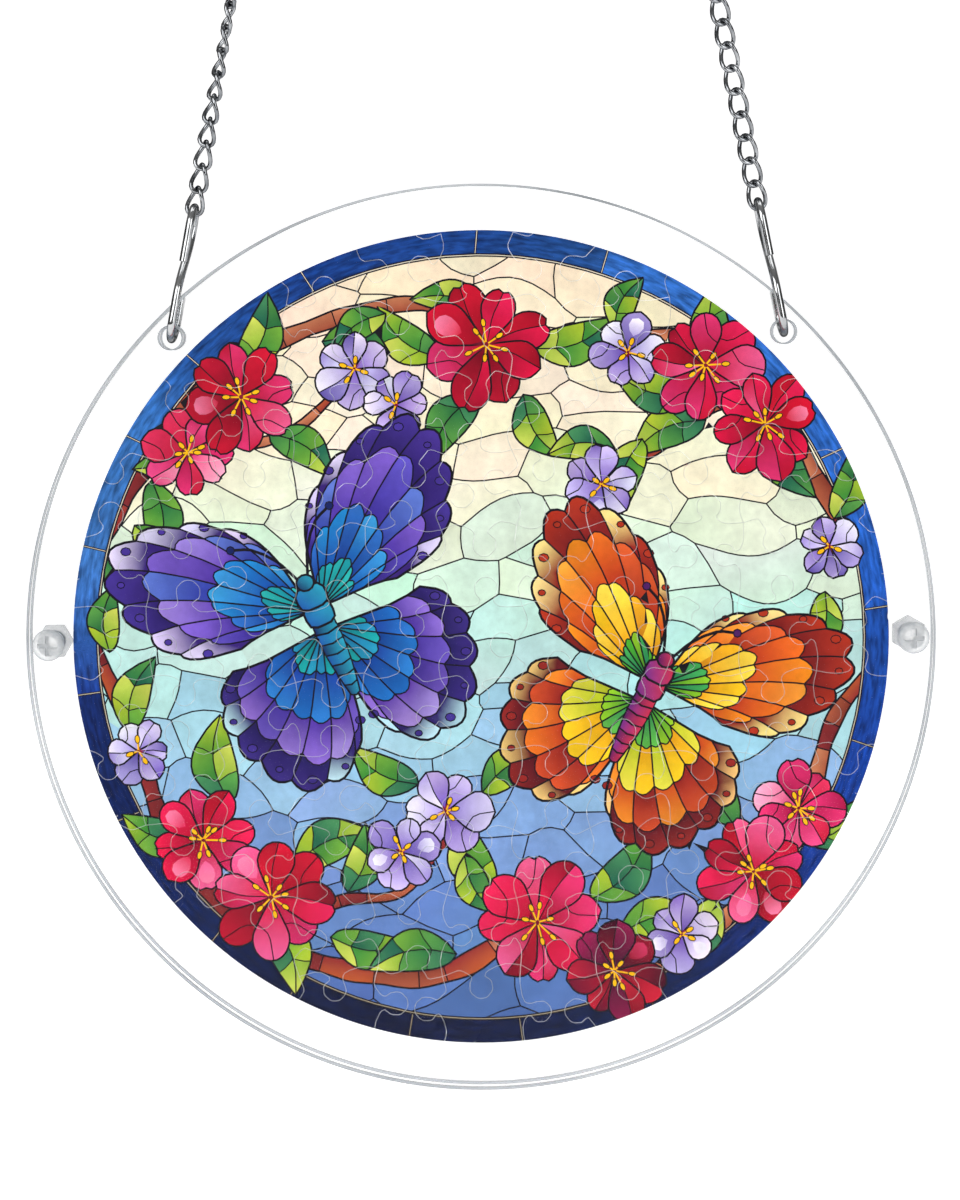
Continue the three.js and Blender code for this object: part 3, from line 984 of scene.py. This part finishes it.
def within(points, line, distance):
    """The indices of the points within a distance of a line."""
    found = []
    for k in range(0, len(line) - 1, 12):
        part = line[k : k + 13]
        some = near(points, part, distance)
        if not len(some):
            continue
        a, run = part[:-1], np.diff(part, axis=0)
        size = np.maximum((run**2).sum(1), 1e-12)
        off = points[some][:, None] - a
        t = np.clip((off * run).sum(2) / size, 0, 1)[..., None]
        gap = np.linalg.norm(off - t * run, axis=2).min(1)
        found.append(some[gap < distance])
    return np.concatenate(found) if found else np.zeros(0, int)


def beside(line, offset):
    """A line moved sideways."""
    if np.allclose(line[0], line[-1]):
        ring = line[:-1]
        along = np.roll(ring, -1, 0) - np.roll(ring, 1, 0)
        along = np.vstack([along, along[:1]])
    else:
        along = np.gradient(line, axis=0)
    along /= np.maximum(np.linalg.norm(along, axis=1), 1e-9)[:, None]
    return line + offset * np.column_stack([-along[:, 1], along[:, 0]])


def visible_lines():
    """The drawn lines that no later pane covers, as runs of points with their half widths."""
    drawn = [(k, layer) for k, layer in enumerate(layers) if layer[0] == "line"]
    points = np.vstack([layer[1] for _, layer in drawn])
    order = np.concatenate([np.full(len(layer[1]), k) for k, layer in drawn])
    covered = np.zeros(len(points), bool)
    for k, (kind, loop, *_) in enumerate(layers):
        if kind == "fill":
            some = near(points, loop)
            some = some[order[some] < k]
            covered[some[inside(points[some], loop)]] = True
    runs = []
    start = 0
    for _, (_, line, _, width, core) in drawn:
        hidden = covered[start : start + len(line)]
        start += len(line)
        for offset in (width / 2, core / 2):
            if offset:
                runs += [(beside(line, offset), hidden), (beside(line, -offset), hidden)]
    return runs


def solid_line(line, *offsets):
    """A line's parallels at the offsets given, none of their points hidden."""
    return [(beside(line, offset), np.zeros(len(line), bool)) for offset in offsets]


def triangulate(runs):
    """Triangles over the disc that follow every run of points."""
    rim = np.array([polar(JIGSAW_RADIUS, t) for t in np.linspace(0, 360, JIGSAW_SEGMENTS + 1)])
    runs = runs + solid_line(rim, 0.0, CUT_CHAMFER)
    verts, edges = [], []
    for line, hidden in runs:
        base = len(verts)
        off = hidden | (np.hypot(line[:, 0], line[:, 1]) > JIGSAW_RADIUS + 1.2)
        verts += [Vector(p) for p in line]
        shown = np.flatnonzero(~(off[:-1] & off[1:])) + base
        edges += [(k, k + 1) for k in shown.tolist()]
    used = sorted({k for edge in edges for k in edge})
    renumber = {k: n for n, k in enumerate(used)}
    verts = [verts[k] for k in used]
    edges = [(renumber[a], renumber[b]) for a, b in edges]
    out = delaunay_2d_cdt(verts, edges, [], 0, 0.02, False)
    flat = np.array([tuple(v) for v in out[0]])
    triangles = np.array(out[2])
    middle = flat[triangles].mean(1)
    apothem = JIGSAW_RADIUS * math.cos(math.pi / JIGSAW_SEGMENTS)
    kept = np.hypot(middle[:, 0], middle[:, 1]) < apothem
    return flat, triangles[kept]


def double_areas(flat, triangles):
    corners = flat[triangles]
    a, b = corners[:, 1] - corners[:, 0], corners[:, 2] - corners[:, 0]
    return a[:, 0] * b[:, 1] - a[:, 1] * b[:, 0]


def loose_groups(triangles, count):
    """A number for each triangle, the same for all in one piece."""
    parent = list(range(count))

    def root(k):
        while parent[k] != k:
            parent[k] = parent[parent[k]]
            k = parent[k]
        return k

    for a, b, c in triangles.tolist():
        parent[root(b)] = root(a)
        parent[root(c)] = root(a)
    return np.array([root(a) for a in triangles[:, 0].tolist()])


def without_slivers(lines):
    """The cuts, less the stretch of each that would free a piece too small to keep."""
    for _ in range(6):
        runs = [run for line in lines for run in solid_line(line, CUT_GAP / 2, -CUT_GAP / 2)]
        flat, triangles = triangulate(runs)
        middle = flat[triangles].mean(1)
        gone = np.zeros(len(triangles), bool)
        for line in lines:
            gone[within(middle, line, CUT_GAP / 2)] = True
        triangles = triangles[~gone]
        group = loose_groups(triangles, len(flat))
        sizes = np.bincount(group, np.abs(double_areas(flat, triangles)) / 2, len(flat))
        small = [g for g in np.unique(group) if 0.3 < sizes[g] < SMALLEST_PIECE]
        if not small:
            break
        for g in small:
            spots = flat[np.unique(triangles[group == g])]
            best, share = None, 0
            for k, line in enumerate(lines):
                if not len(near(spots, line, 1)):
                    continue
                gap = np.linalg.norm(line[:, None] - spots[None], axis=2).min(1)
                touching = gap < 2 * CUT_GAP
                if touching.sum() > share:
                    best, share, hit = k, touching.sum(), touching
            if best is None:
                continue
            line = lines.pop(best)
            first, last = np.flatnonzero(hit)[[0, -1]]
            lines += [part for part in (line[: first + 1], line[last:]) if len(part) > 3]
    return lines


cuts = [thinned(line) for line in without_slivers(jigsaw_cuts())]


def inked_triangles():
    """Points, triangles, the paint of each and how far the painted light of the cut beside it pales
    it.
    """
    runs = visible_lines()
    for line in cuts:
        runs += solid_line(line, CUT_GAP / 2, -CUT_GAP / 2, CUT_BAND)
    flat, triangles = triangulate(runs)
    middle = flat[triangles].mean(1)
    row = np.full(len(triangles), LEAD)
    for kind, shape, colour, width, core in layers:
        if kind == "fill":
            some = near(middle, shape)
            row[some[inside(middle[some], shape)]] = colour
        else:
            row[within(middle, shape, width / 2)] = colour
            if core:
                row[within(middle, shape, core / 2)] = CORE
    pale = np.zeros(len(triangles))
    gone = np.zeros(len(triangles), bool)
    # Painted light: a pale strip along one side of each cut stands for the light its cut edge
    # catches.
    for line in cuts:
        lit = beside(line, (CUT_BAND + CUT_GAP / 2) / 2)
        pale[within(middle, lit, (CUT_BAND - CUT_GAP / 2) / 2)] = CUT_EDGE_LIGHT
        gone[within(middle, line, CUT_GAP / 2)] = True
    triangles, row, pale = triangles[~gone], row[~gone], pale[~gone]
    area = double_areas(flat, triangles) / 2
    if area.sum() < 0:
        triangles = triangles[:, ::-1]
    group = loose_groups(triangles, len(flat))
    whole = np.bincount(group, np.abs(area), len(flat))[group] > CRUMB
    return flat, triangles[whole], row[whole], pale[whole]


def jigsaw_pieces():
    """The loose pieces, each a closed solid with the picture on both faces and eased edges."""
    flat, triangles, row, pale = inked_triangles()
    forward = np.vstack([triangles[:, [k, (k + 1) % 3]] for k in range(3)])
    code = forward[:, 0] * len(flat) + forward[:, 1]
    reverse = forward[:, 1] * len(flat) + forward[:, 0]
    rim = forward[~np.isin(code, reverse)]
    used = np.unique(triangles)
    renumber = np.zeros(len(flat), int)
    renumber[used] = np.arange(len(used))
    triangles, rim, flat = renumber[triangles], renumber[rim], flat[used]

    count = len(flat)
    depth = np.full(count, JIGSAW_FACE)
    depth[rim] -= CUT_CHAMFER
    verts = np.column_stack(
        [np.tile(flat[:, 0], 2), np.concatenate([-depth, depth]), np.tile(flat[:, 1] + DISC_Z, 2)]
    )
    walls = np.column_stack([rim[:, ::-1], rim + count])
    faces = triangles.tolist() + (triangles[:, ::-1] + count).tolist() + walls.tolist()
    mesh = bpy.data.meshes.new("jigsaw_pieces")
    mesh.from_pydata((verts * MM).tolist(), [], faces)

    # On the corners: the ink, the share of brushing, and places along and across the brush strokes
    pick = np.array(paints)[np.tile(row, 2)]
    spots = np.concatenate([flat[triangles], flat[triangles[:, ::-1]]])
    share = ((spots - pick[:, None, 6:8]) * pick[:, None, 8:10]).sum(2)
    share = np.clip(share, 0, 1)[..., None]
    ink = pick[:, None, 0:3] * (1 - share) + pick[:, None, 3:6] * share
    # Walls take bare acrylic; the strip beside each cut is mixed towards it as painted light.
    bare_and_edge_light = np.array(paints[BARE_AND_EDGE_LIGHT][:3])
    tint = np.tile(pale, 2)[:, None, None]
    ink = ink * (1 - tint) + bare_and_edge_light * tint
    at_walls = 4 * len(walls)
    colours = np.vstack([ink.reshape(-1, 3), np.tile(bare_and_edge_light, (at_walls, 1))])
    colours = np.column_stack([np.clip(colours, 0, 1), np.ones(len(colours))])
    brushed = np.concatenate([np.repeat(pick[:, 10], 3), np.zeros(at_walls)])
    ends = spots.reshape(-1, 2)
    strokes = np.zeros((len(colours), 3))
    arc = np.arctan2(ends[:, 1], ends[:, 0]) * JIGSAW_RADIUS
    strokes[: len(ends), 0] = arc / STROKE_STRETCH
    strokes[: len(ends), 1] = np.hypot(ends[:, 0], ends[:, 1])
    for kept_in, name, kind, key, values in (
        (mesh.color_attributes, "ink", "FLOAT_COLOR", "color", colours),
        (mesh.attributes, "brushed", "FLOAT", "value", brushed),
        (mesh.attributes, "round", "FLOAT_VECTOR", "vector", strokes * MM),
    ):
        made = kept_in.new(name, kind, "CORNER")
        made.data.foreach_set(key, values.astype(np.float32).ravel())
    return finished("jigsaw_pieces", mesh, [PRINT], ["jigsaw"], 25)


jigsaw_pieces()


# Screws and nuts


def turned(profile, sides, reach_at=None, ring=False):
    """Points and faces of a solid turned about Y from a profile of (radius, depth)."""
    verts = []
    for radius, depth in profile:
        for s in range(sides):
            angle = 2 * math.pi * s / sides
            reach = reach_at(radius, angle) if reach_at else radius
            verts.append((reach * math.cos(angle), depth, reach * math.sin(angle)))
    return verts, grid_faces(len(profile), sides, ring)


def across_plates(x, turn=0.0):
    """Where a fixing's own axes lie: origin between the plates, Y along the bore."""
    return Matrix.Translation((x, 0, DISC_Z)) @ Matrix.Rotation(turn, 4, "Y")


def nylon_piece(name, mesh, node, x):
    """A nylon piece that looks denser, by painted shade in a darker grey, where its outer faces
    turn away.
    """
    for face in mesh.polygons:
        off_axis = math.hypot(face.center.x / MM - x, face.center.z / MM - DISC_Z)
        outer = off_axis > SCREW_RADIUS + 0.4
        # Painted shade: outer faces turned side-on take the darker nylon.
        face.material_index = 1 if outer and abs(face.normal.y) < 0.8 else 0
    return finished(name, mesh, [NYLON, NYLON_SIDE_SHADE], [node])


def screw_profile(seat):
    """Half a section of the screw, from the crown's flat round the head to the thread's tail."""
    tail = OUTER_FACE + 2 * SEAT_GAP + NUT_HEIGHT + TAIL_LENGTH
    crown = [(SCREW_RADIUS, seat), (HEAD_RADIUS - 0.15, seat), (HEAD_RADIUS, seat - 0.15)]
    crown.append((HEAD_RADIUS, seat - HEAD_EDGE))
    for k in range(1, 9):
        a = math.pi / 2 * k / 8
        reach = HEAD_FLAT + (HEAD_RADIUS - HEAD_FLAT) * math.cos(a)
        crown.append((reach, seat - HEAD_EDGE - (HEAD_HEIGHT - HEAD_EDGE) * math.sin(a)))
    profile = crown[::-1]
    depth = seat
    while depth < tail - 0.9:
        profile += [(SCREW_RADIUS, depth), (SCREW_RADIUS, depth + 0.15)]
        profile.append((SCREW_RADIUS - THREAD_ROOT, depth + 0.35))
        depth += THREAD_PITCH
    return profile + [(SCREW_RADIUS - 0.1, tail - 0.5), (SCREW_RADIUS - 0.5, tail)]


def screw(name, node, x):
    """A clear screw with a domed head, a cross recess and a fine thread."""
    seat = -(OUTER_FACE + SEAT_GAP)
    verts, faces = turned(screw_profile(seat), SCREW_SEGMENTS)
    last = len(verts) - SCREW_SEGMENTS
    faces += [tuple(range(last, len(verts))), tuple(range(SCREW_SEGMENTS))]
    body = in_scene(name + "_blank", closed_mesh(name, verts, faces, across_plates(x)))
    crown = seat - HEAD_HEIGHT
    for turn in (0, math.pi / 2):
        corners = [
            (a * RECESS_ARM, crown + b * RECESS_DEPTH, c * RECESS_WIDTH / 2)
            for a in (-1, 1) for b in (-1, 1) for c in (-1, 1)
        ]
        sides = [(0, 1, 3, 2), (4, 6, 7, 5), (0, 4, 5, 1), (2, 3, 7, 6), (0, 2, 6, 4), (1, 5, 7, 3)]
        tool = in_scene("slot", closed_mesh("slot", corners, sides, across_plates(x, turn)))
        cut = body.modifiers.new("recess", "BOOLEAN")
        cut.operation, cut.object, cut.solver = "DIFFERENCE", tool, "EXACT"
        body.data = evaluated_mesh(body)
        body.modifiers.clear()
        bpy.data.objects.remove(tool)
    mesh = body.data
    bpy.data.objects.remove(body)
    mesh.name = name
    return nylon_piece(name, mesh, node, x)


def nut(name, node, x, turn):
    """A hex nut with rounded corners at both ends and a threaded bore."""
    corner = NUT_APOTHEM * 2 / math.sqrt(3)
    front = OUTER_FACE + SEAT_GAP
    back = front + NUT_HEIGHT

    def hexagonal(radius, angle):
        if radius < NUT_APOTHEM - 0.5:
            return radius
        return min(radius, NUT_APOTHEM / math.cos(angle % (math.pi / 3) - math.pi / 6))

    ends = [(corner + NUT_BEVEL * (2 * share - 1), NUT_BEVEL * share) for share in (0, 0.3, 0.6, 1)]
    profile = [(reach, front + rise) for reach, rise in ends]
    profile += [(reach, back - rise) for reach, rise in ends[::-1]]
    bore = SCREW_RADIUS + 0.1
    profile.append((bore + 0.25, back))
    depth = back - 0.25
    while depth > front + 0.4:
        profile += [(bore, depth), (bore + 0.22, depth - 0.35)]
        depth -= THREAD_PITCH
    profile += [(bore, front + 0.25), (bore + 0.25, front)]
    verts, faces = turned(profile, HOLE_SEGMENTS, hexagonal, True)
    return nylon_piece(name, closed_mesh(name, verts, faces, across_plates(x, turn)), node, x)


for side, word in ((-1, "left"), (1, "right")):
    screw(f"nylon_screw_{word}", f"screw_{word}", side * HOLE_CIRCLE)
    nut(f"nylon_nut_{word}", f"nut_{word}", side * HOLE_CIRCLE, 0 if side < 0 else math.pi / 6)


# Steel


def arm_place(side):
    """Where an arm's own axes lie: origin at the hole's centre, Z along the chain."""
    hole = Matrix.Translation((side * HOLE, 0, DISC_Z + HOLE))
    return hole @ Matrix.Rotation(-side * LEAN, 4, "Y")


def hook_route():
    """The middle of the hook's wire, in the arm's Y and Z."""
    side = OUTER_FACE + HOOK_PLAY + HOOK_RADIUS
    share = OUTER_FACE / side
    slack = math.sqrt(1 - share**2)
    steep = (SEAT_RISE / side) * (share / slack)
    shoulder = HANG_HOLE_RADIUS - CONTACT_GAP + SEAT_RISE * slack
    shoulder -= HOOK_RADIUS * math.hypot(1, steep)
    outward = HOLE * math.cos(LEAN) - HOLE * math.sin(LEAN)
    rim = math.sqrt(outward**2 + PLATE_RADIUS**2 - HOLE_CIRCLE**2) - outward
    ease = (EYE_HEIGHT - rim) * HOOK_SWEEP
    half_turn = [math.pi * k / 28 for k in range(1, 29)]
    points = [(side, z) for z in np.linspace(HOOK_TAIL, shoulder, 8)]
    points += [(side * math.cos(a), shoulder - SEAT_RISE * math.sin(a)) for a in half_turn]
    points += [(-side, z) for z in np.linspace(shoulder, rim, 6)[1:]]
    for t in np.linspace(0, 1, 25)[1:]:
        a, b, c, d = (1 - t) ** 3, 3 * t * (1 - t) ** 2, 3 * t**2 * (1 - t), t**3
        z = rim * a + (rim + ease) * b + (EYE_HEIGHT - ease) * c + EYE_HEIGHT * d
        points.append((-side * (a + b) + EYE_RADIUS * (c + d), z))
    points += [(EYE_RADIUS * math.cos(a), EYE_HEIGHT + EYE_RADIUS * math.sin(a)) for a in half_turn]
    points += [(-EYE_RADIUS, z) for z in np.linspace(EYE_HEIGHT, EYE_HEIGHT - HOOK_LIP, 8)[1:]]
    return [(0, y, z) for y, z in points]


def hook(name, node, side):
    verts, faces = wire(hook_route(), HOOK_RADIUS, 20)
    mesh = closed_mesh(name, verts, faces, arm_place(side))
    return finished(name, mesh, [HOOK_STEEL], [node], 40)


def chain_link():
    """One link of a curb chain, bent so that its neighbours lie flat in it."""
    path = []
    for k in range(24):
        t = 2 * math.pi * (k + 0.5) / 24
        across = math.copysign(abs(math.cos(t)) ** 0.9, math.cos(t))
        path.append(
            (LINK_HALF_WIDTH * across, LINK_BEND * math.sin(2 * t), LINK_HALF_HEIGHT * math.sin(t))
        )
    mesh = closed_mesh("link", *wire(path, LINK_RADIUS, 7, True))
    mesh.shade_smooth()
    return in_scene("link", mesh)


def chain_tree():
    """Links set one pitch apart along Z, turned more and more over some of them."""
    tree = bpy.data.node_groups.new("chain", "GeometryNodeTree")
    for name, kind in (
        ("Link", "Object"), ("Links", "Int"), ("Pitch", "Float"), ("First link", "Float"),
        ("Turn from", "Float"), ("Turn to", "Float"), ("First turn", "Float"),
        ("Last turn", "Float"), ("Steel", "Material"),
    ):
        tree.interface.new_socket(name, in_out="INPUT", socket_type="NodeSocket" + kind)
    tree.interface.new_socket("Geometry", in_out="OUTPUT", socket_type="NodeSocketGeometry")
    given = add(tree, "NodeGroupInput").outputs
    start, step = [
        add(tree, "ShaderNodeCombineXYZ", {"Z": given[name]}).outputs[0]
        for name in ("First link", "Pitch")
    ]
    line = {"Count": given["Links"], "Start Location": start, "Offset": step}
    places = add(tree, "GeometryNodeMeshLine", line, mode="OFFSET").outputs["Mesh"]
    turning = {
        "Value": add(tree, "GeometryNodeInputIndex").outputs[0],
        "From Min": given["Turn from"],
        "From Max": given["Turn to"],
        "To Min": given["First turn"],
        "To Max": given["Last turn"],
    }
    turn = add(tree, "ShaderNodeMapRange", turning, interpolation_type="SMOOTHSTEP")
    shape = add(tree, "GeometryNodeObjectInfo", {"Object": given["Link"]})
    spaced = {
        "Points": places,
        "Instance": shape.outputs["Geometry"],
        "Rotation": add(tree, "ShaderNodeCombineXYZ", {"Z": turn.outputs["Result"]}).outputs[0],
    }
    spaced = add(tree, "GeometryNodeInstanceOnPoints", spaced).outputs["Instances"]
    whole = add(tree, "GeometryNodeRealizeInstances", {"Geometry": spaced}).outputs["Geometry"]
    clad = add(tree, "GeometryNodeSetMaterial", {"Geometry": whole, "Material": given["Steel"]})
    add(tree, "NodeGroupOutput", {"Geometry": clad.outputs["Geometry"]})
    return tree


def chain(name, node, side, turn_from, turn_to, first, last, tree, link):
    """One chain, made by the tree and then put on its arm. The turns are in degrees."""
    carrier = in_scene(name + "_carrier", bpy.data.meshes.new(name))
    links = carrier.modifiers.new("links", "NODES")
    links.node_group = tree
    values = {
        "Link": link, "Links": LINK_COUNT, "Pitch": LINK_PITCH * MM, "First link": FIRST_LINK * MM,
        "Turn from": float(turn_from), "Turn to": float(turn_to),
        "First turn": math.radians(first), "Last turn": math.radians(last), "Steel": CHAIN_STEEL,
    }
    for socket in tree.interface.items_tree:
        if socket.in_out == "INPUT":
            links[socket.identifier] = values[socket.name]
    mesh = evaluated_mesh(carrier)
    carrier.modifiers.clear()
    bpy.data.objects.remove(carrier)
    mesh.name = name
    place = arm_place(side)
    place.translation *= MM
    mesh.transform(place)
    mesh.materials.clear()
    return finished(name, mesh, [CHAIN_STEEL], [node], 80)


tree = chain_tree()
link = chain_link()
hook("steel_hook_left", "hook_left", -1)
hook("steel_hook_right", "hook_right", 1)
chain("steel_chain_left", "chain_left", -1, 0, 9, -30, -88, tree, link)
chain("steel_chain_right", "chain_right", 1, 40, 58, -16, -90, tree, link)
bpy.data.objects.remove(link)

ring_z = -(RING_RADIUS - RING_WIRE / 2)
ring_path = [
    (RING_RADIUS * math.cos(t), 0, ring_z + RING_RADIUS * math.sin(t))
    for t in np.linspace(0, 2 * math.pi, 96, endpoint=False)
]
ring = closed_mesh("steel_ring", *wire(ring_path, RING_WIRE / 2, 20, True))
finished("steel_ring", ring, [HOOK_STEEL], ["hanging_ring"], 60)


# Stage, light and camera


SWEEP_FRONT, SWEEP_BACK = -500, 3400
SWEEP_CURVE = 600
SWEEP_HALF_WIDTH, SWEEP_HEIGHT = 4000, 3200
FLOOR_GAP = 12  # from the lowest point of the plates down to the floor


def sweep():
    """A paper sweep: a floor just below the disc that curves up far behind it."""
    floor = DISC_Z - PLATE_RADIUS - FLOOR_GAP
    profile = [(SWEEP_FRONT, floor), (SWEEP_BACK, floor)]
    for k in range(1, 13):
        a = math.pi / 2 * k / 12
        rise = SWEEP_CURVE * (1 - math.cos(a))
        profile.append((SWEEP_BACK + SWEEP_CURVE * math.sin(a), floor + rise))
    profile.append((SWEEP_BACK + SWEEP_CURVE, floor + SWEEP_HEIGHT))
    verts = [(x, y, z) for x in (-SWEEP_HALF_WIDTH, SWEEP_HALF_WIDTH) for y, z in profile]
    n = len(profile)
    faces = [(k, n + k, n + k + 1, k + 1) for k in range(n - 1)]
    mesh = bpy.data.meshes.new("paper_sweep")
    mesh.from_pydata([Vector(v) * MM for v in verts], [], faces)
    mesh.materials.append(PAPER)
    mesh.shade_smooth()
    in_scene("paper_sweep", mesh)


def softbox(name, place, aim, width, height, power):
    """A rectangular softbox turned to a point."""
    light = bpy.data.lights.new(name, "AREA")
    light.shape, light.size, light.size_y, light.energy = "RECTANGLE", width, height, power
    made = in_scene(name, light)
    made.location = place
    made.rotation_euler = (Vector(aim) - Vector(place)).to_track_quat("-Z", "Y").to_euler()


def surroundings():
    """A room that is bright above and grey below, so that the steel shows its form."""
    world = bpy.data.worlds.new("studio")
    bpy.context.scene.world = world
    world.use_nodes = True
    tree = world.node_tree
    place = add(tree, "ShaderNodeTexCoord").outputs["Generated"]
    height = add(tree, "ShaderNodeSeparateXYZ", {0: place}).outputs["Z"]
    levels = {"Value": height, "From Min": 0.0, "From Max": 0.9, "To Min": 0.035, "To Max": 0.25}
    tone = add(tree, "ShaderNodeMapRange", levels).outputs["Result"]
    tree.links.new(tone, tree.nodes["Background"].inputs["Color"])


sweep()
middle = Vector((0, 0, DISC_Z * MM))
softbox("key", (-0.9, -1.5, DISC_Z * MM + 0.75), middle, 1.5, 1.5, 22)
softbox("fill", (1.1, -1.4, DISC_Z * MM + 0.35), middle, 0.9, 1.5, 12)
softbox("top", (0, 0.3, DISC_Z * MM + 1.7), middle, 1.6, 0.8, 7)
surroundings()

IMAGE_HEIGHT = 1200
SENSOR = 36
LENS = 109
DISTANCE = 0.803
ELEVATION, AZIMUTH, ROLL = math.radians(5), math.radians(1), math.radians(0.6)
DISC_DROP = 39.5  # pixels from the image's centre down to the disc's

focal = LENS / SENSOR * IMAGE_HEIGHT
camera = in_scene("camera", bpy.data.cameras.new("camera"))
camera.data.lens = LENS
camera.data.sensor_width = SENSOR
level = math.cos(ELEVATION)
back = Vector((math.sin(AZIMUTH) * level, -math.cos(AZIMUTH) * level, math.sin(ELEVATION)))
camera.location = middle + back * DISTANCE
aim = middle + Vector((0, 0, DISTANCE * DISC_DROP / focal))
camera.rotation_mode = "QUATERNION"
look = (aim - camera.location).to_track_quat("-Z", "Y")
camera.rotation_quaternion = look @ Matrix.Rotation(-ROLL, 4, "Z").to_quaternion()
bpy.context.scene.camera = camera
bpy.context.scene.view_settings.view_transform = "Standard"
